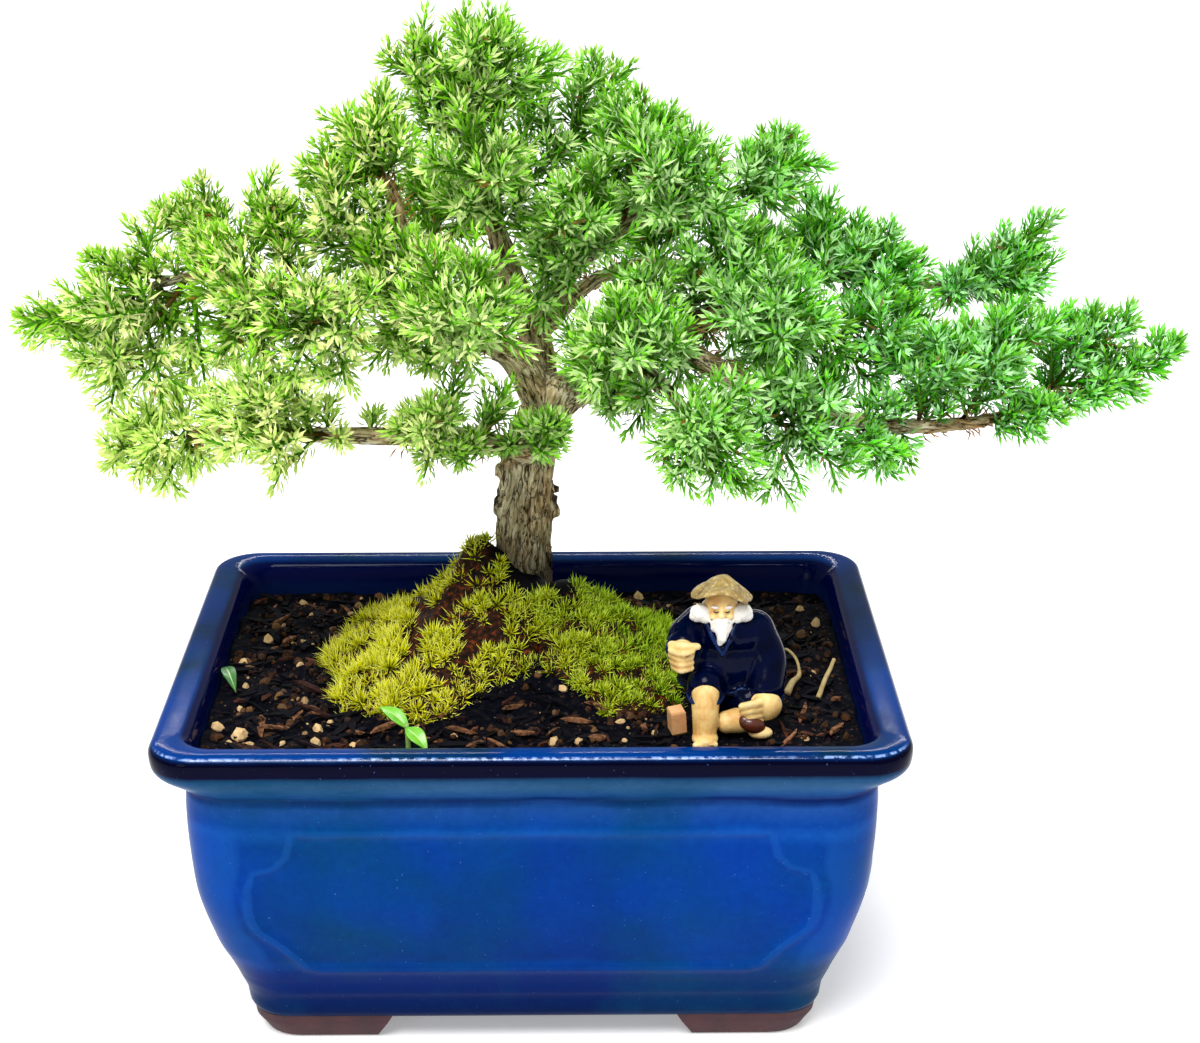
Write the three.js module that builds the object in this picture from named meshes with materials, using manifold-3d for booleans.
// A dwarf juniper bonsai in a blue glazed rectangular pot, on a mound of mossy soil, with a small seated
// figure of fired clay and a weed seedling. Millimetres, +Z up. The pot's long front faces -Y and its
// four feet stand at z = 0. All sizes below are in the pot's own frame, whose origin is on the ground
// under the middle of the pot. The finished group is then shifted sideways, so that the middle of the
// whole plant's bounding box is above the origin.
import * as THREE from "three";
import { mergeVertices } from "three/addons/utils/BufferGeometryUtils.js";
import Module from "manifold-3d";

const wasm = await Module();
wasm.setup();

// Driving dimensions
const GAP = 0.3; // clearance between pieces that rest on each other
const POT = { width: 156, depth: 117, floorTop: 12, arcSteps: 3 };
// The pot's outside from the foot line up over the rim, as height, inset from the rim's outline and
// corner radius.
const POT_OUTSIDE = [
  [6, 16.6, 9],
  [9, 15.4, 10],
  [12.4, 14.8, 10],
  [14, 14, 11],
  [20, 11.4, 12],
  [28, 8.8, 12],
  [38, 6.5, 12],
  [52, 5.4, 12],
  [63, 5.3, 12],
  [66, 3.8, 11],
  [69, 1.2, 10],
  [71.5, 0.1, 10],
  [74.3, 0, 10],
  [75.6, 0.8, 10],
  [76, 2.2, 9],
  [75.8, 4.8, 8],
];
// The inside from the rim's slanted inner lip down to the floor.
const POT_INSIDE = [
  [75, 6.8, 7],
  [73.6, 8, 7],
  [66, 9.2, 7],
  [40, 11.4, 8],
  [24, 15.2, 9],
  [15, 21, 9],
  [12, 27, 9],
];
const FEET = { height: 6, topInset: 16.2, bottomInset: 18.6, wall: 15, gapX: 62, gapY: 42, corner: 8 };
const DRAIN = { radius: 6, offset: 34, sides: 12 };
const SCREEN = { side: 16, thick: 0.8, cells: 2, cell: 5, pitch: 6.6 };
const SOIL = { level: 70, rings: [1, 0.86, 0.68, 0.52, 0.38, 0.25, 0.12] };
const MOUND = { x: -5, y: 9, height: 16, spreadX: 24, spreadY: 22 };
const MOSS = {
  moss_left: { centre: [-22.5, 0], halves: [25, 26.5], thick: 5.6, seed: 1 },
  moss_right: { centre: [18, -2], halves: [17, 24], thick: 4.6, seed: 5 },
};
const SEAT = { x: 41, y: -30, radius: 15, level: 70.2 }; // flat patch under the clay figure
const NEEDLE = { length: 4.8, whorl: 3.9, bareStep: 8, stem: 0.75, lean: 0.75 };
const SPRAY = { sideTwigs: 4, bareShare: 0.28, sag: 0.1, upward: 0.25, trials: 9, twigBare: 1.6 };
const GOLDEN_ANGLE = Math.PI * (3 - Math.sqrt(5));

// The wood: each limb as hand-placed points, the radius at its two ends, the sides of its section and its
// steps.
const LIMBS = {
  trunk: {
    points: [
      [-3, 14, 56], [-3, 14, 80], [-2.6, 14, 95], [-1.6, 13, 110], [0, 12, 120], [3, 12, 127],
      [5, 12, 133],
    ],
    radii: [7.6, 5], sides: 8, steps: 8,
  },
  leader: {
    points: [
      [2, 12, 124], [1, 16, 139], [-2, 18, 148], [-6, 16, 160], [-9, 12, 174], [-11, 10, 184],
      [-11.2, 10, 190],
    ],
    radii: [4.4, 1.2], sides: 6, steps: 8,
  },
  left: {
    points: [
      [3, 12, 125], [-4, 8, 140], [-13, 4, 147], [-22, 0, 157], [-26, -2, 168], [-28, -2, 176],
      [-30, -1, 182],
    ],
    radii: [4.2, 1.1], sides: 6, steps: 8,
  },
  farLeft: {
    points: [
      [-20, 1, 154], [-37, -5, 157], [-51, -5, 159], [-66, -3, 161], [-77, -1, 159], [-84, 0, 156],
    ],
    radii: [2.4, 0.9], sides: 5, steps: 7,
  },
  lowLeft: {
    points: [
      [0, 10, 117], [-11, -2, 124], [-24, -9, 127], [-38, -13, 129], [-53, -15, 130], [-64, -15, 131],
      [-71, -14, 130],
    ],
    radii: [2.8, 1], sides: 5, steps: 8,
  },
  right: {
    points: [
      [3, 12, 128], [15, 10, 134], [26, 5, 143], [36, 0, 150], [45, -2, 152], [55, -1, 150],
      [62, 1, 146],
    ],
    radii: [4, 1.2], sides: 6, steps: 7,
  },
  lowRight: {
    points: [
      [28, 4, 145], [42, -3, 139], [54, -6, 134], [68, -7, 130], [83, -5, 128], [97, -1, 128],
      [109, 2, 130.5], [117, 3, 133],
    ],
    radii: [2.7, 0.9], sides: 5, steps: 9,
  },
  upperRight: {
    points: [[-1, 17, 144], [10, 18, 158], [23, 17, 168], [34, 15, 172], [42, 13, 175]],
    radii: [2.7, 1], sides: 5, steps: 6,
  },
  midRight: {
    points: [[26, 5, 143], [45, 12, 151], [65, 19, 155], [82, 21, 152.5], [92, 20.5, 152]],
    radii: [2.3, 0.9], sides: 5, steps: 7,
  },
  backLeft: {
    points: [[-2, 18, 147], [-14, 32, 154], [-28, 42, 158], [-46, 44, 158], [-66, 44, 158]],
    radii: [2.4, 0.9], sides: 5, steps: 6,
  },
  backRight: {
    points: [[1, 17, 142], [12, 30, 150], [26, 42, 152], [38, 46, 148]],
    radii: [2.3, 0.9], sides: 5, steps: 5,
  },
  frontLeft: {
    points: [[-11, 5, 145], [-14, -10, 149], [-16, -24, 151]],
    radii: [2.2, 1], sides: 5, steps: 4,
  },
  frontRight: {
    points: [[22, 7, 139], [26, -8, 140], [32, -24, 138]],
    radii: [2.2, 1], sides: 5, steps: 4,
  },
};
// Pruned stubs on the trunk: height, direction round the trunk from the front in degrees, radius and
// length.
const STUBS = [
  [117, -80, 1.4, 1.4],
  [111, -95, 1.7, 1.2],
  [102, -78, 1.6, 1.3],
  [101, 85, 1.6, 1.4],
  [108, 150, 1.6, 1.4],
];
const KNOB = { at: [5.5, 9.5, 130.5], radius: [5.4, 4.6, 5.2] }; // healed cut at the fork

// Patches of soil that no bark chip or stone may lie on, as the middle and the reach: the clay figure's
// seat, the seedling, the fallen leaf and the dry stalk.
const LITTER_SPOTS = [[SEAT.x, SEAT.y, SEAT.radius], [-25.5, -42, 6], [-65, -11, 6], [63, -16, 5]];

// The foliage: each spray's limb, how far along that limb it starts, the tip of its axis and its spread.
const SPRAYS = {
  crown_left: { limb: "leader", at: 0.88, tip: [-26, 5, 208], spread: 9 },
  crown_top: { limb: "leader", at: 1, tip: [-8, 8, 211], spread: 10 },
  crown_back: { limb: "leader", at: 0.7, tip: [18, 26, 198], spread: 13 },
  crown_low_left: { limb: "left", at: 0.95, tip: [-35, 1, 195], spread: 12 },
  crown_front: { limb: "leader", at: 0.62, tip: [-11, -8, 190], spread: 12 },
  upper_right: { limb: "upperRight", at: 0.55, tip: [25, 12, 193], spread: 13 },
  upper_right_front: { limb: "upperRight", at: 0.7, tip: [33, -6, 184], spread: 13 },
  upper_right_end: { limb: "upperRight", at: 1, tip: [58, 14, 183], spread: 10 },
  middle_right: { limb: "right", at: 0.5, tip: [43, -4, 172], spread: 12 },
  right_back: { limb: "midRight", at: 0.5, tip: [68, 30, 163], spread: 12 },
  right_shoulder: { limb: "midRight", at: 0.6, tip: [82, 9, 157], spread: 11 },
  right_upper_tip: { limb: "midRight", at: 1, tip: [114, 20, 161], spread: 8 },
  right_front: { limb: "frontRight", at: 0.5, tip: [16, -27, 155], spread: 12 },
  right_front_drop: { limb: "frontRight", at: 1, tip: [37, -36, 132], spread: 12 },
  right_front_high: { limb: "right", at: 0.68, tip: [56, -24, 158], spread: 12 },
  right_low: { limb: "lowRight", at: 0.33, tip: [54, -22, 129], spread: 12 },
  right_low_sprig: { limb: "lowRight", at: 0.46, tip: [79, -15, 122], spread: 6 },
  right_middle: { limb: "right", at: 1, tip: [82, 0, 144], spread: 11 },
  right_outer: { limb: "lowRight", at: 0.72, tip: [103, -6, 152], spread: 11 },
  right_outer_up: { limb: "lowRight", at: 0.9, tip: [126, 12, 149], spread: 10 },
  right_tip: { limb: "lowRight", at: 1, tip: [143.5, 5, 144.5], spread: 6 },
  right_outer_low: { limb: "lowRight", at: 0.78, tip: [115, -7, 133], spread: 7 },
  left_shoulder: { limb: "left", at: 0.7, tip: [-45, -4, 180], spread: 12 },
  left_upright: { limb: "farLeft", at: 0.45, tip: [-54, -6, 181], spread: 7 },
  left_back: { limb: "backLeft", at: 1, tip: [-86, 45, 163], spread: 11 },
  left_top: { limb: "farLeft", at: 0.66, tip: [-72, 7, 167], spread: 10 },
  left_upper_tip: { limb: "farLeft", at: 0.85, tip: [-97, 2, 165], spread: 6 },
  left_tip: { limb: "farLeft", at: 1, tip: [-112, 0, 151], spread: 5 },
  left_outer: { limb: "farLeft", at: 0.8, tip: [-91, -12, 140], spread: 13 },
  left_low_tip: { limb: "lowLeft", at: 1, tip: [-90, -13, 125], spread: 10 },
  left_low: { limb: "lowLeft", at: 0.62, tip: [-63, -28, 139], spread: 13 },
  left_middle: { limb: "farLeft", at: 0.3, tip: [-48, -25, 153], spread: 13 },
  left_inner: { limb: "left", at: 0.45, tip: [-33, -17, 166], spread: 12 },
  front_centre: { limb: "frontLeft", at: 1, tip: [-11, -38, 164], spread: 13 },
  low_left_inner: { limb: "lowLeft", at: 0.32, tip: [-24, -20, 134], spread: 9 },
  low_left_drop: { limb: "lowLeft", at: 0.2, tip: [-19, -17, 126], spread: 6 },
  trunk_crossing: { limb: "lowLeft", at: 0.12, tip: [7, -13, 132], spread: 7 },
  back_right: { limb: "backRight", at: 0.8, tip: [27, 56, 162], spread: 13 },
  back_centre: { limb: "backLeft", at: 0.42, tip: [-22, 55, 166], spread: 13 },
  back_low_right: { limb: "backRight", at: 1, tip: [54, 42, 138], spread: 12 },
  fork_front: { limb: "upperRight", at: 0.3, tip: [12, -2, 178], spread: 11 },
  right_crook: { limb: "right", at: 0.3, tip: [27, -8, 165], spread: 9 },
  upper_right_low: { limb: "midRight", at: 0.3, tip: [52, 6, 170], spread: 8 },
  right_under: { limb: "right", at: 0.78, tip: [58, -7, 142], spread: 9 },
  right_gap: { limb: "lowRight", at: 0.62, tip: [87, -4, 148], spread: 11 },
  right_hang: { limb: "right", at: 0.16, tip: [20, -14, 138], spread: 7 },
  left_gap: { limb: "farLeft", at: 0.48, tip: [-64, -15, 152], spread: 11 },
  left_under: { limb: "left", at: 0.3, tip: [-29, -15, 148], spread: 8 },
};
const FIRST_TO_GROW = ["right_tip", "left_tip", "crown_top", "left_low_tip", "right_upper_tip", "left_back"];

const COLOUR = {
  pot: 0x01407f,
  screen: 0x1c1c1c,
  soil: 0x241a14,
  moss: 0x84841d,
  wood: 0x7b7257,
  leaf: 0x67ac4e,
  figure: 0xc79a56,
  seedling: 0x7fd43a,
  straw: 0xb9a56a,
};

// Small tools for geometry

// A fixed fraction from 0 to 1 that differs for every pair of whole numbers, so that each build is the
// same.
function chance(a, b = 0) {
  const s = Math.sin(a * 12.9898 + b * 78.233 + 4.1) * 43758.5453;
  return s - Math.floor(s);
}

// A closed mesh from corner points and triangles, as a solid for joining and cutting.
function solidOf(geometry) {
  const bare = new THREE.BufferGeometry();
  bare.setAttribute("position", geometry.getAttribute("position"));
  if (geometry.index) bare.setIndex(geometry.index);
  const merged = mergeVertices(bare, 1e-4);
  return new wasm.Manifold(
    new wasm.Mesh({
      numProp: 3,
      vertProperties: merged.attributes.position.array,
      triVerts: new Uint32Array(merged.index.array),
    }),
  );
}

function geometryOf(solid) {
  const mesh = solid.getMesh();
  const points = new Float32Array(mesh.numVert * 3);
  for (let i = 0; i < mesh.numVert; i++) {
    points.set(mesh.vertProperties.subarray(i * mesh.numProp, i * mesh.numProp + 3), i * 3);
  }
  const geometry = new THREE.BufferGeometry();
  geometry.setAttribute("position", new THREE.BufferAttribute(points, 3));
  geometry.setIndex(new THREE.BufferAttribute(new Uint32Array(mesh.triVerts), 1));
  return geometry;
}

function meshData(points, faces) {
  const geometry = new THREE.BufferGeometry();
  geometry.setAttribute("position", new THREE.Float32BufferAttribute(points.flatMap((p) => p.toArray()), 3));
  geometry.setIndex(faces.flat());
  return geometry;
}

// Rings of equal length joined into one closed skin, with a fan over each end. Each ring turns
// anticlockwise seen from the end that the rings run towards.
function loft(rings) {
  const n = rings[0].length;
  const points = rings.flat();
  const faces = [];
  for (let r = 0; r + 1 < rings.length; r++) {
    for (let i = 0; i < n; i++) {
      const j = (i + 1) % n;
      const [a, b, c, d] = [r * n + i, r * n + j, (r + 1) * n + j, (r + 1) * n + i];
      faces.push([a, b, c], [a, c, d]);
    }
  }
  for (const [ring, flip] of [[0, true], [rings.length - 1, false]]) {
    const centre = rings[ring].reduce((sum, p) => sum.add(p), new THREE.Vector3()).divideScalar(n);
    points.push(centre);
    for (let i = 0; i < n; i++) {
      const [a, b] = [ring * n + i, ring * n + ((i + 1) % n)];
      faces.push(flip ? [b, a, points.length - 1] : [a, b, points.length - 1]);
    }
  }
  return meshData(points, faces);
}

function vectors(points) {
  return points.map((p) => new THREE.Vector3(...p));
}

// A round bar along a curve through the points, whose radius runs evenly between the two given.
function bar(points, radii, sides, steps, grow = 0) {
  const curve = new THREE.CatmullRomCurve3(vectors(points));
  const frames = curve.computeFrenetFrames(steps, false);
  const rings = [];
  for (let s = 0; s <= steps; s++) {
    const radius = THREE.MathUtils.lerp(radii[0], radii[1], s / steps) + grow;
    const centre = curve.getPointAt(s / steps);
    if (s === steps) centre.addScaledVector(frames.tangents[s], grow);
    rings.push(ringAt(centre, frames.normals[s], frames.binormals[s], radius, sides, 0));
  }
  return loft(rings);
}

function ringAt(centre, normal, binormal, radius, sides, turn) {
  return Array.from({ length: sides }, (_, k) => {
    const angle = turn + (k / sides) * 2 * Math.PI;
    return centre
      .clone()
      .addScaledVector(normal, radius * Math.cos(angle))
      .addScaledVector(binormal, radius * Math.sin(angle));
  });
}

// A ball squeezed to three radii, with few faces, turned about its own middle and moved to its place.
function lump(centre, radii, turn = [0, 0, 0], across = 8, down = 6) {
  const geometry = new THREE.SphereGeometry(1, across, down);
  geometry.scale(...radii);
  geometry.rotateX(turn[0]);
  geometry.rotateY(turn[1]);
  geometry.rotateZ(turn[2]);
  geometry.translate(...centre);
  return solidOf(geometry);
}

function joined(solids) {
  return solids.reduce((sum, solid) => sum.add(solid));
}

function largestPiece(solid) {
  return solid.decompose().reduce((best, piece) => (piece.volume() > best.volume() ? piece : best));
}

// The pot

// A rectangle with round corners, anticlockwise seen from above, inset from the rim's outline.
function potOutline(z, inset, corner) {
  const [halfX, halfY] = [POT.width / 2 - inset, POT.depth / 2 - inset];
  const points = [];
  for (const [quarter, sx, sy] of [[0, 1, 1], [1, -1, 1], [2, -1, -1], [3, 1, -1]]) {
    for (let s = 0; s <= POT.arcSteps; s++) {
      const angle = (quarter + s / POT.arcSteps) * (Math.PI / 2);
      const x = sx * (halfX - corner) + corner * Math.cos(angle);
      const y = sy * (halfY - corner) + corner * Math.sin(angle);
      points.push(new THREE.Vector3(x, y, z));
    }
  }
  return points;
}

// A bar of trapezium section through the foot ring, which leaves the splayed gap between two feet.
function footGap(alongX) {
  const [half, length] = alongX ? [FEET.gapY / 2, POT.width] : [FEET.gapX / 2, POT.depth];
  const splay = 4;
  const shape = new THREE.Shape([
    new THREE.Vector2(-half - splay, -1),
    new THREE.Vector2(half + splay, -1),
    new THREE.Vector2(half, FEET.height),
    new THREE.Vector2(-half, FEET.height),
  ]);
  const geometry = new THREE.ExtrudeGeometry(shape, { depth: length, bevelEnabled: false });
  geometry.translate(0, 0, -length / 2);
  geometry.rotateX(Math.PI / 2);
  if (alongX) geometry.rotateZ(Math.PI / 2);
  return solidOf(geometry);
}

function feet() {
  const { height, topInset, bottomInset, wall, corner } = FEET;
  const block = solidOf(loft([
    potOutline(0, bottomInset, corner),
    potOutline(height / 2, (topInset + bottomInset) / 2 - 0.4, corner),
    potOutline(height + 1, topInset + 0.6, corner),
  ]));
  const hollow = solidOf(loft([
    potOutline(-1, bottomInset + wall, 2),
    potOutline(height, topInset + wall, 2),
  ]));
  return block.subtract(hollow).subtract(footGap(true)).subtract(footGap(false));
}

function drainHole(x) {
  const geometry = new THREE.CylinderGeometry(DRAIN.radius, DRAIN.radius, POT.floorTop * 2, DRAIN.sides);
  geometry.rotateX(Math.PI / 2);
  geometry.translate(x, 0, FEET.height);
  return solidOf(geometry);
}

function pot() {
  const shell = solidOf(loft([...POT_OUTSIDE, ...POT_INSIDE].map((ring) => potOutline(...ring))));
  return shell.add(feet()).subtract(drainHole(DRAIN.offset)).subtract(drainHole(-DRAIN.offset));
}

// A square of plastic mesh that keeps the soil off a drain hole.
function drainScreen(x) {
  const block = (side, height, dx, dy) => {
    const geometry = new THREE.BoxGeometry(side, side, height);
    geometry.translate(x + dx, dy, POT.floorTop + GAP + SCREEN.thick / 2);
    return solidOf(geometry);
  };
  let plate = block(SCREEN.side, SCREEN.thick, 0, 0);
  for (let i = 0; i < SCREEN.cells * SCREEN.cells; i++) {
    const dx = ((i % SCREEN.cells) - (SCREEN.cells - 1) / 2) * SCREEN.pitch;
    const dy = (Math.floor(i / SCREEN.cells) - (SCREEN.cells - 1) / 2) * SCREEN.pitch;
    plate = plate.subtract(block(SCREEN.cell, SCREEN.thick + 2, dx, dy));
  }
  return plate;
}

// The ground

// Height of the soil: a mound under the tree, shallow lumps, and a flat patch for the clay figure to sit
// on.
function groundHeight(x, y) {
  const [u, v] = [(x - MOUND.x) / MOUND.spreadX, (y - MOUND.y) / MOUND.spreadY];
  const lumps = 0.5 * Math.sin(0.31 * x + 0.8) * Math.sin(0.37 * y) + 0.35 * Math.sin(0.83 * x - 0.6 * y);
  const open = SOIL.level + lumps + MOUND.height * Math.exp(-u * u - v * v);
  const distance = Math.hypot(x - SEAT.x, y - SEAT.y);
  const away = THREE.MathUtils.smoothstep(distance, SEAT.radius * 0.85, SEAT.radius * 1.2);
  return THREE.MathUtils.lerp(SEAT.level, open, away);
}

// The rounded rectangle again, with more points along its straight sides.
function soilOutline(z, inset, corner) {
  const points = potOutline(z, inset, corner);
  return points.flatMap((p, i) => {
    const next = points[(i + 1) % points.length];
    const straight = i % (POT.arcSteps + 1) === POT.arcSteps;
    return straight ? [p, p.clone().lerp(next, 1 / 3), p.clone().lerp(next, 2 / 3)] : [p];
  });
}

// Bark chips and grit lie where the golden angle puts them, outside the mound and the figure's seat.
function topDressing() {
  const pieces = [];
  const wanted = { chips: 5, stones: 6 };
  for (let i = 0; pieces.length < wanted.chips + wanted.stones && i < 200; i++) {
    const reach = Math.sqrt((i + 0.5) / 44);
    const x = 62 * reach * Math.cos(i * GOLDEN_ANGLE);
    const y = 43 * reach * Math.sin(i * GOLDEN_ANGLE);
    const underMoss = Object.values(MOSS).some(({ centre, halves }) =>
      Math.hypot((x - centre[0]) / (halves[0] + 8), (y - centre[1]) / (halves[1] + 8)) < 1.1);
    const underLitter = LITTER_SPOTS.some(([cx, cy, reach]) => Math.hypot(x - cx, y - cy) < reach + 7);
    if (underMoss || underLitter || Math.abs(x) > 61) continue;
    const z = groundHeight(x, y);
    const chip = pieces.length < wanted.chips;
    const geometry = chip
      ? new THREE.BoxGeometry(9 + 4 * chance(i, 1), 2.6, 1.6)
      : new THREE.OctahedronGeometry(1.5 + 0.5 * chance(i, 2));
    geometry.rotateX(0.5 * (chance(i, 3) - 0.5));
    geometry.rotateZ(Math.PI * chance(i, 4));
    geometry.translate(x, y, z + (chip ? 0.1 : 0.5));
    pieces.push(solidOf(geometry));
  }
  return pieces;
}

function soilBody() {
  const walls = [...POT_INSIDE].reverse().filter(([z]) => z < SOIL.level);
  const rings = walls.map(([z, inset, corner]) =>
    soilOutline(z + (z === POT.floorTop ? GAP : 0), inset + GAP + 0.1, corner));
  const edge = soilOutline(0, POT_INSIDE[2][1] + GAP, POT_INSIDE[2][2]);
  for (const scale of SOIL.rings) {
    rings.push(edge.map((p) => {
      const [x, y] = [p.x * scale, p.y * scale];
      return new THREE.Vector3(x, y, groundHeight(x, y));
    }));
  }
  return solidOf(loft(rings));
}

function screenPocket(x) {
  const side = SCREEN.side + 2 * GAP;
  const geometry = new THREE.BoxGeometry(side, side, 2 * (SCREEN.thick + 2 * GAP));
  geometry.translate(x, 0, POT.floorTop);
  return solidOf(geometry);
}

// A moss cushion: an uneven oval patch over the ground, thick in the middle, with a tuft raised from each
// facet.
function mossCushion(bare, { centre, halves, thick, seed }) {
  const around = 12;
  const scales = [1, 0.84, 0.55, 0.24];
  const flat = (scale, i) => {
    const angle = (i / around) * 2 * Math.PI;
    const wobble = 1 + 0.12 * Math.sin(3 * angle + seed) + 0.06 * Math.sin(7 * angle - seed);
    const x = centre[0] + halves[0] * scale * wobble * Math.cos(angle);
    const y = centre[1] + halves[1] * scale * wobble * Math.sin(angle);
    return [x, y];
  };
  const layer = (scale, rise) => Array.from({ length: around }, (_, i) => {
    const [x, y] = flat(scale, i);
    return new THREE.Vector3(x, y, groundHeight(x, y) + rise);
  });
  const rings = [layer(1, -3), ...scales.map((s) => layer(s, 0.9 + thick * Math.sqrt(1 - s * s)))];
  const skin = loft(rings);
  const tufts = raiseTufts(skin, (p) => p.z > groundHeight(p.x, p.y) + 1.2, 1.6, seed);
  return largestPiece(solidOf(tufts).subtract(bare));
}

// The solid joined with copies of itself moved a gap's width along each axis.
function swollen(solid) {
  const moves = [[0, 0, 1], [0, 0, -1], [1, 0, 0], [-1, 0, 0], [0, 1, 0], [0, -1, 0]];
  return joined([solid, ...moves.map((move) => solid.translate(move.map((v) => v * GAP)))]);
}

// Every facet that the test accepts gets a low point, raised along its normal and leaning a little.
function raiseTufts(geometry, accepted, rise, seed) {
  const at = (i) => new THREE.Vector3().fromBufferAttribute(geometry.getAttribute("position"), i);
  const points = Array.from({ length: geometry.getAttribute("position").count }, (_, i) => at(i));
  const faces = [];
  for (let f = 0; f < geometry.index.count; f += 3) {
    const [a, b, c] = [0, 1, 2].map((k) => geometry.index.getX(f + k));
    const middle = points[a].clone().add(points[b]).add(points[c]).divideScalar(3);
    const normal = new THREE.Triangle(points[a], points[b], points[c]).getNormal(new THREE.Vector3());
    if (!accepted(middle) || normal.z < 0.2 || (f / 3) % 2) {
      faces.push([a, b, c]);
      continue;
    }
    const lean = new THREE.Vector3(chance(f, seed) - 0.5, chance(f, seed + 1) - 0.5, 0);
    points.push(middle.addScaledVector(normal, rise).add(lean));
    faces.push([a, b, points.length - 1], [b, c, points.length - 1], [c, a, points.length - 1]);
  }
  return meshData(points, faces);
}

// The wood

function limbCurve(name) {
  return new THREE.CatmullRomCurve3(vectors(LIMBS[name].points));
}

function stub([z, degrees, radius, length]) {
  const curve = limbCurve("trunk");
  const share = (z - LIMBS.trunk.points[0][2]) / (LIMBS.trunk.points.at(-1)[2] - LIMBS.trunk.points[0][2]);
  const centre = curve.getPointAt(share);
  const turn = THREE.MathUtils.degToRad(degrees);
  const out = new THREE.Vector3(Math.sin(turn), -Math.cos(turn), 0.15);
  const reach = THREE.MathUtils.lerp(...LIMBS.trunk.radii, share) + length;
  const end = centre.clone().addScaledVector(out, reach);
  return solidOf(bar([centre.toArray(), end.toArray()], [radius * 1.3, radius], 5, 1));
}

// The trunk and its limbs, which grew as one piece. grow swells them for cutting clear what lies round
// them.
function wood(grow = 0) {
  const limbs = Object.values(LIMBS).map(({ points, radii, sides, steps }) =>
    solidOf(bar(points, radii, sides, steps, grow)));
  const knob = lump(KNOB.at, KNOB.radius.map((r) => r + grow));
  const stubs = grow ? [] : STUBS.map(stub);
  return joined([...limbs, knob, ...stubs]);
}

// The foliage

// A twig with its needles: a three-sided stem whose sections turn by a sixth at each whorl, so that three
// needles stand out of every whorl, as on the real plant. Each needle is a facet of the stem drawn out to
// a point. A side twig gets a facet of its parent as its root; the facets in bareFacets stay flat, as
// roots for side twigs.
function leafyStem(curve, { bareLength = 0, root, bareFacets = [], grow = 0 } = {}) {
  const length = curve.getLength();
  const bareSteps = Math.round(bareLength / NEEDLE.bareStep + 0.4);
  const whorls = Math.max(2, Math.round((length - bareLength) / NEEDLE.whorl));
  const bareShare = bareLength / length;
  const shares = Array.from({ length: bareSteps + whorls + 1 }, (_, s) =>
    s < bareSteps
      ? (s * bareShare) / bareSteps
      : THREE.MathUtils.lerp(bareShare, 1, (s - bareSteps) / whorls));
  const last = shares.length - 1;
  const tangents = shares.map((share) => curve.getTangentAt(share));
  const side = root
    ? root[0].clone().sub(curve.getPointAt(0))
    : curve.computeFrenetFrames(1, false).normals[0].clone();
  const rings = shares.map((share, s) => {
    const binormal = tangents[s].clone().cross(side).normalize();
    const normal = binormal.clone().cross(tangents[s]);
    const radius = NEEDLE.stem * (1 - 0.4 * share) + grow;
    return ringAt(curve.getPointAt(share), normal, binormal, radius, 3, (s * Math.PI) / 3);
  });
  if (root && !grow) rings[0] = root;
  const tip = curve.getPointAt(1).addScaledVector(tangents[last], 1 + grow);
  const facets = [];
  const faces = [[rings[0][0], rings[0][2], rings[0][1]]];
  const face = (s, k, corners) => {
    const middle = new THREE.Vector3();
    corners.forEach((corner) => middle.addScaledVector(corner, 1 / 3));
    const outward = middle.clone().sub(curve.getPointAt(shares[s]));
    outward.addScaledVector(tangents[s], -outward.dot(tangents[s])).normalize();
    facets.push({ corners, middle, outward, tangent: tangents[s], share: shares[s] });
    if (s < bareSteps || bareFacets.includes(facets.length - 1)) {
      faces.push(corners);
      return;
    }
    const lean = s === last ? NEEDLE.lean * 2 : NEEDLE.lean;
    const way = outward.clone().addScaledVector(tangents[s], lean).normalize();
    const apex = middle.clone().addScaledVector(way, NEEDLE.length + grow);
    const [a, b, c] = corners;
    faces.push([a, b, apex], [b, c, apex], [c, a, apex]);
  };
  for (let s = 0; s <= last; s++) {
    for (let k = 0; k < 3; k++) {
      const [a, b] = [rings[s][k], rings[s][(k + 1) % 3]];
      face(s, k, [a, b, s < last ? rings[s + 1][k] : tip]);
      if (s < last) faces.push([rings[s + 1][k], b, rings[s + 1][(k + 1) % 3]]);
    }
  }
  const points = faces.flat();
  return { solid: solidOf(meshData(points, [points.map((_, i) => i)])), facets };
}

// A spray's axis, a shallow bow that starts inside its limb and ends where its last needles reach the
// spray's tip.
function sprayAxis({ limb, at, tip }, nudge) {
  const start = limbCurve(limb).getPointAt(at);
  const end = new THREE.Vector3(...tip).add(nudge);
  end.addScaledVector(end.clone().sub(start).normalize(), -NEEDLE.length * 0.9);
  const middle = start.clone().add(end).divideScalar(2);
  middle.z -= SPRAY.sag * start.distanceTo(end);
  return new THREE.QuadraticBezierCurve3(start, middle, end);
}

// A side twig from the middle of a facet of its parent, which leans forward and rises a little.
function sideTwig({ middle, outward, tangent, share }, spread) {
  const way = outward.clone().addScaledVector(tangent, 0.7);
  way.z += SPRAY.upward;
  const length = spread * (0.85 + 0.4 * Math.sin(Math.PI * share)) * (1 - 0.3 * share);
  const end = middle.clone().addScaledVector(way.normalize(), length);
  const bend = middle.clone().add(end).divideScalar(2).addScaledVector(outward, length * 0.06);
  return new THREE.QuadraticBezierCurve3(middle, bend, end);
}

function touches(solid, others) {
  const box = solid.boundingBox();
  return others.some((other) => {
    const far = [0, 1, 2].some((i) => box.min[i] > other.box.max[i] || box.max[i] < other.box.min[i]);
    return !far && !solid.intersect(other.solid).isEmpty();
  });
}

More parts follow.
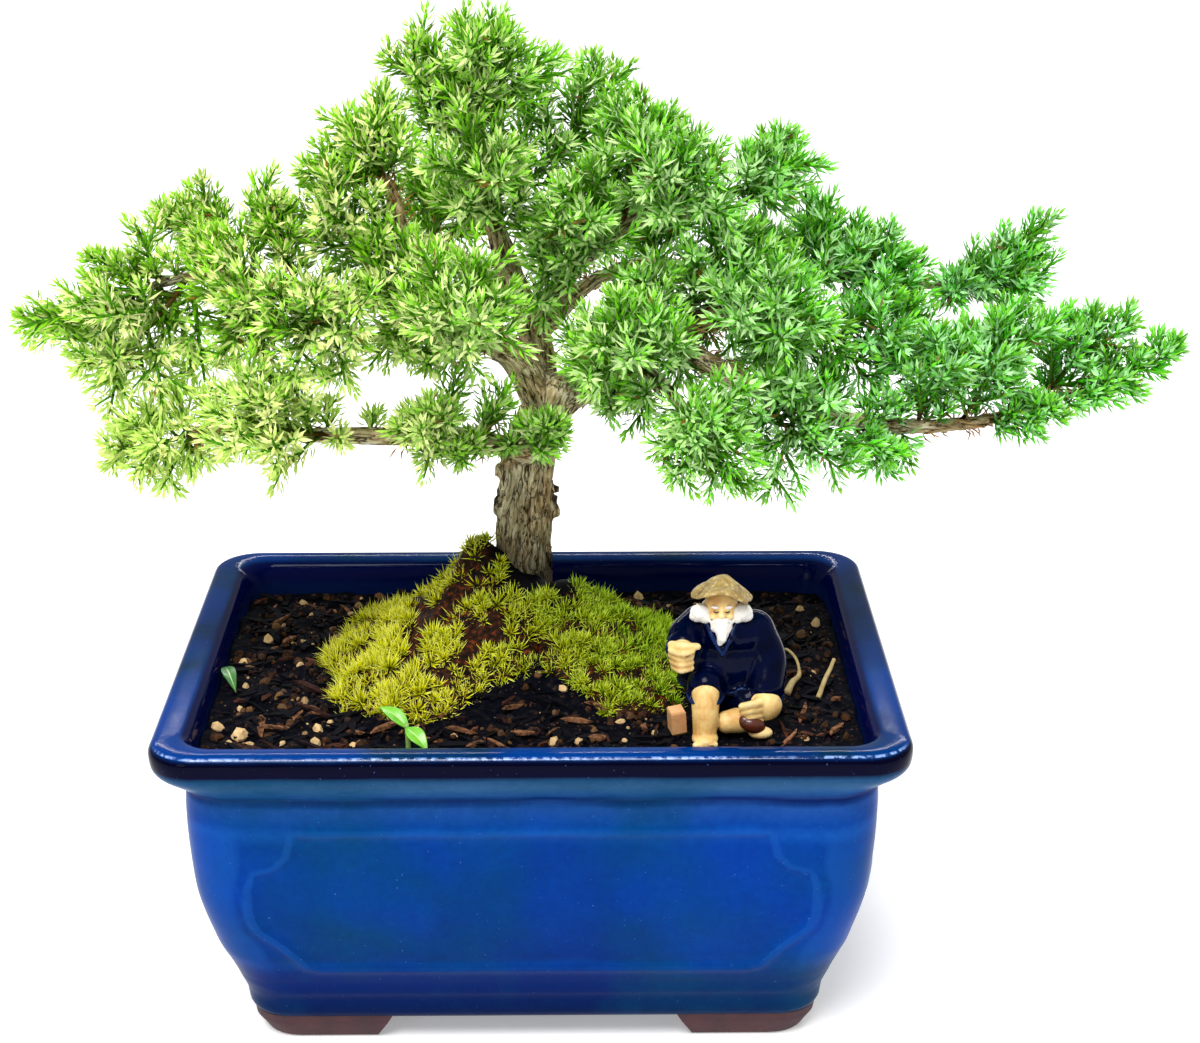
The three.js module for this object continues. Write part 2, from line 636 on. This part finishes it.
// Grows the sprays one after another. An axis that would touch a spray grown before it is moved until it
// is clear. Each side twig starts from the facet of the axis at which it is clear of the other sprays and
// crosses the fewest needles of its own, out of those near its place in a golden-angle spiral.
function growSprays(woodClear) {
  const grown = [];
  const names = [...FIRST_TO_GROW, ...Object.keys(SPRAYS).filter((name) => !FIRST_TO_GROW.includes(name))];
  for (const name of names) {
    const spray = SPRAYS[name];
    const clear = (curve, options) => !touches(leafyStem(curve, { ...options, grow: GAP }).solid, grown);
    const axis = clearAxis(spray, clear);
    const bareLength = axis.getLength() * SPRAY.bareShare;
    const facets = leafyStem(axis, { bareLength }).facets;
    const bare = facets.findIndex((facet) => facet.share >= SPRAY.bareShare - 0.01);
    const open = facets.length - 6 - bare;
    let bareFacets = [];
    let twigs = [];
    let solid = leafyStem(axis, { bareLength }).solid;
    for (let k = 0; k < SPRAY.sideTwigs; k++) {
      let best;
      for (let trial = 0; trial < SPRAY.trials; trial++) {
        const nearby = Math.floor(((k + 0.5) / SPRAY.sideTwigs) * open) + k + trial;
        const index = bare + (nearby % Math.max(open, 3));
        if (bareFacets.includes(index)) continue;
        const curve = sideTwig(facets[index], spray.spread);
        const options = { bareLength: SPRAY.twigBare, root: facets[index].corners };
        if (!clear(curve, options)) continue;
        const twig = leafyStem(curve, options).solid;
        const stem = leafyStem(axis, { bareLength, bareFacets: [...bareFacets, index] }).solid;
        const whole = joined([stem, ...twigs, twig]);
        if (!best || whole.numTri() < best.whole.numTri()) best = { whole, twig, index };
      }
      if (!best) continue;
      bareFacets.push(best.index);
      twigs.push(best.twig);
      solid = best.whole;
    }
    solid = largestPiece(solid.subtract(woodClear));
    grown.push({ name, solid, box: solid.boundingBox() });
  }
  return grown;
}

function clearAxis(spray, clear) {
  for (let trial = 0; trial < SPRAY.trials; trial++) {
    const swing = trial * GOLDEN_ANGLE;
    const nudge = new THREE.Vector3(Math.cos(swing), Math.sin(swing), 0.4).multiplyScalar(trial * 0.8);
    const axis = sprayAxis(spray, nudge);
    if (clear(axis, { bareLength: axis.getLength() * SPRAY.bareShare })) return axis;
  }
  throw new Error("no clear way for the spray that ends at " + spray.tip);
}

// The clay figure: a seated man in a wide hat and loose robe, one knee up, moulded and fired in one
// piece.

function hat(centre) {
  const profile = [
    [0, 3.9],
    [1.6, 3.6],
    [3.4, 2.2],
    [6.2, 0.2],
    [6.9, -0.8],
    [6.3, -1.1],
    [3, 0.2],
    [0, 0.4],
  ];
  const geometry = new THREE.LatheGeometry(profile.map(([r, h]) => new THREE.Vector2(r, h)).reverse(), 10);
  geometry.rotateX(Math.PI / 2);
  geometry.rotateX(0.16);
  geometry.rotateY(0.1);
  geometry.translate(...centre);
  return solidOf(geometry);
}

function figure() {
  const { x, y, level } = SEAT;
  const z = level + GAP;
  const place = (dx, dy, dz) => [x + dx, y + dy, z + dz];
  const limb = (points, radii, steps = 2) => solidOf(bar(points.map((p) => place(...p)), radii, 6, steps));
  const parts = [
    lump(place(0, 3, 12), [10.4, 7.6, 13], [0, 0, 0], 11, 7),
    lump(place(-1.6, 0.6, 25.4), [4.1, 4, 4.6], [0, 0, 0], 8, 5),
    hat(place(-1.4, 0.4, 28.2)),
    limb([[-1.6, -2.8, 24.6], [-1.6, -4.2, 21.8], [-1.6, -4.4, 19.4]], [2.3, 0.9]),
    lump(place(-5.8, -1.2, 25.2), [3, 2.4, 2.6], [0, 0, 0], 6, 4),
    lump(place(2.6, -1.2, 25.2), [3, 2.4, 2.6], [0, 0, 0], 6, 4),
    limb([[-5.8, 3, 20.5], [-9, -1.5, 18.8], [-9.6, -5, 19]], [4.2, 3.2]),
    lump(place(-9.8, -6.6, 19.2), [3.4, 2.8, 3.1], [0, 0, 0], 6, 4),
    limb([[5.2, 3, 19], [7.6, -0.4, 12.5], [6.8, -5, 7.8]], [4.2, 3.3]),
    lump(place(6.4, -6.9, 6), [4.1, 3.1, 3], [0, 0, 0.3], 7, 4),
    limb([[-2, 2, 6.5], [-4.8, -5, 9.4], [-4.9, -9, 8.4]], [5, 3.6]),
    limb([[-4.9, -8.4, 9], [-4.9, -9.6, 5], [-5, -10.2, 0]], [3.4, 2.9]),
    limb([[4, 0, 4.6], [6, -4.5, 3.4], [0, -7.6, 3]], [4.4, 2.6]),
    limb([[1.4, -7.6, 2.8], [4.6, -9, 2.4]], [2.4, 1.7], 1),
  ];
  const block = new THREE.BoxGeometry(4.6, 4.4, 5.6);
  block.rotateZ(0.2);
  block.translate(...place(-11.2, -7.2, 2.8));
  const below = new THREE.BoxGeometry(60, 60, 10);
  below.translate(...place(0, 0, -5));
  return largestPiece(joined([...parts, solidOf(block)]).subtract(solidOf(below)));
}

// Small plants and litter

// A pointed leaf blade of even thickness along +X, arched and turned to its direction.
function leafBlade(length, width, thick, place) {
  const steps = 4;
  const rings = [];
  for (let s = 0; s <= steps; s++) {
    const share = 0.04 + (0.94 * s) / steps;
    const half = 0.5 * width * Math.sin(Math.PI * share ** 0.85) + 0.15;
    const arch = 0.12 * length * Math.sin(Math.PI * share);
    const x = share * length;
    const [under, over] = [arch - thick / 2, arch + thick / 2];
    rings.push(vectors([[x, -half, arch], [x, 0, under], [x, half, arch], [x, 0, over]]));
  }
  const geometry = loft(rings);
  geometry.applyMatrix4(place);
  return solidOf(geometry);
}

function placed(position, turnZ, pitch) {
  const turn = new THREE.Euler(0, -pitch, turnZ, "ZYX");
  return new THREE.Matrix4().makeRotationFromEuler(turn).setPosition(...position);
}

function seedling() {
  const foot = [-25.5, -42, 66];
  const top = [-25.8, -42, 75.6];
  const stem = solidOf(bar([foot, top], [0.6, 0.5], 6, 1));
  const left = leafBlade(8.4, 3.6, 0.9, placed([top[0] + 0.4, top[1], 75.2], Math.PI * 0.8, 0.34));
  const right = leafBlade(7.4, 3.6, 0.9, placed([top[0] - 0.4, top[1], 75.2], -0.62, -0.3));
  return joined([stem, left, right]);
}

// The solid raised in small steps until it is just clear of the ground, which includes the gap above the
// soil.
function laidOn(ground, solid) {
  let laid = solid;
  while (!laid.intersect(ground).isEmpty()) laid = laid.translate([0, 0, 0.05]);
  return laid;
}

function plainBar(points, radii, sides, steps) {
  return solidOf(bar(points, radii, sides, steps));
}

// The assembly

const potSolid = pot();
const woodSolid = wood();
const woodClear = wood(GAP);
const raised = (solid) => solid.add(solid.translate([0, 0, GAP]));

const seedlingSolid = seedling();
const seedlingHole = plainBar([[-25.5, -42, 64], [-25.5, -42, 76]], [1, 1], 6, 1);
const screens = [-DRAIN.offset, DRAIN.offset].map(drainScreen);
const bareSoil = joined([soilBody(), ...topDressing()]);
const soilSolid = largestPiece([...[-DRAIN.offset, DRAIN.offset].map(screenPocket), seedlingHole, woodClear]
  .reduce((rest, cut) => rest.subtract(cut), bareSoil));
const mossCut = raised(soilSolid).add(woodClear);
const mossLeft = mossCushion(mossCut, MOSS.moss_left);
const mossRight = mossCushion(mossCut.add(swollen(mossLeft)), MOSS.moss_right);
const figureSolid = figure();
const straw = plainBar([[61.5, -19, 69], [63.2, -16, 72], [65.4, -12.5, 75.5]], [0.6, 0.5], 6, 2);
const stalk = laidOn(raised(soilSolid), straw);
const fallenLeaf = laidOn(raised(soilSolid), leafBlade(8.4, 3, 0.9, placed([-66, -7.5, 69], -1.3, 0.02)));

const nodes = [
  ["pot", potSolid, COLOUR.pot, 0.15],
  ["drain_screen_left", screens[0], COLOUR.screen, 0.7],
  ["drain_screen_right", screens[1], COLOUR.screen, 0.7],
  ["soil", soilSolid, COLOUR.soil, 0.95],
  ["moss_left", mossLeft, COLOUR.moss, 0.9],
  ["moss_right", mossRight, COLOUR.moss, 0.9],
  ["trunk_and_limbs", woodSolid, COLOUR.wood, 0.85],
  ["clay_figure", figureSolid, COLOUR.figure, 0.4],
  ["seedling", seedlingSolid, COLOUR.seedling, 0.5],
  ["dry_stalk", stalk, COLOUR.straw, 0.8],
  ["fallen_leaf", fallenLeaf, COLOUR.seedling, 0.6],
];
for (const { name, solid } of growSprays(woodClear)) {
  nodes.push(["spray_" + name, solid, COLOUR.leaf, 0.6]);
}

const bonsai = new THREE.Group();
for (const [name, solid, color, roughness] of nodes) {
  const material = new THREE.MeshStandardMaterial({ color, roughness, metalness: 0 });
  const mesh = new THREE.Mesh(geometryOf(solid), material);
  mesh.name = name;
  bonsai.add(mesh);
}

const middle = new THREE.Box3().setFromObject(bonsai).getCenter(new THREE.Vector3());
bonsai.position.set(-middle.x, -middle.y, 0);

export default bonsai;
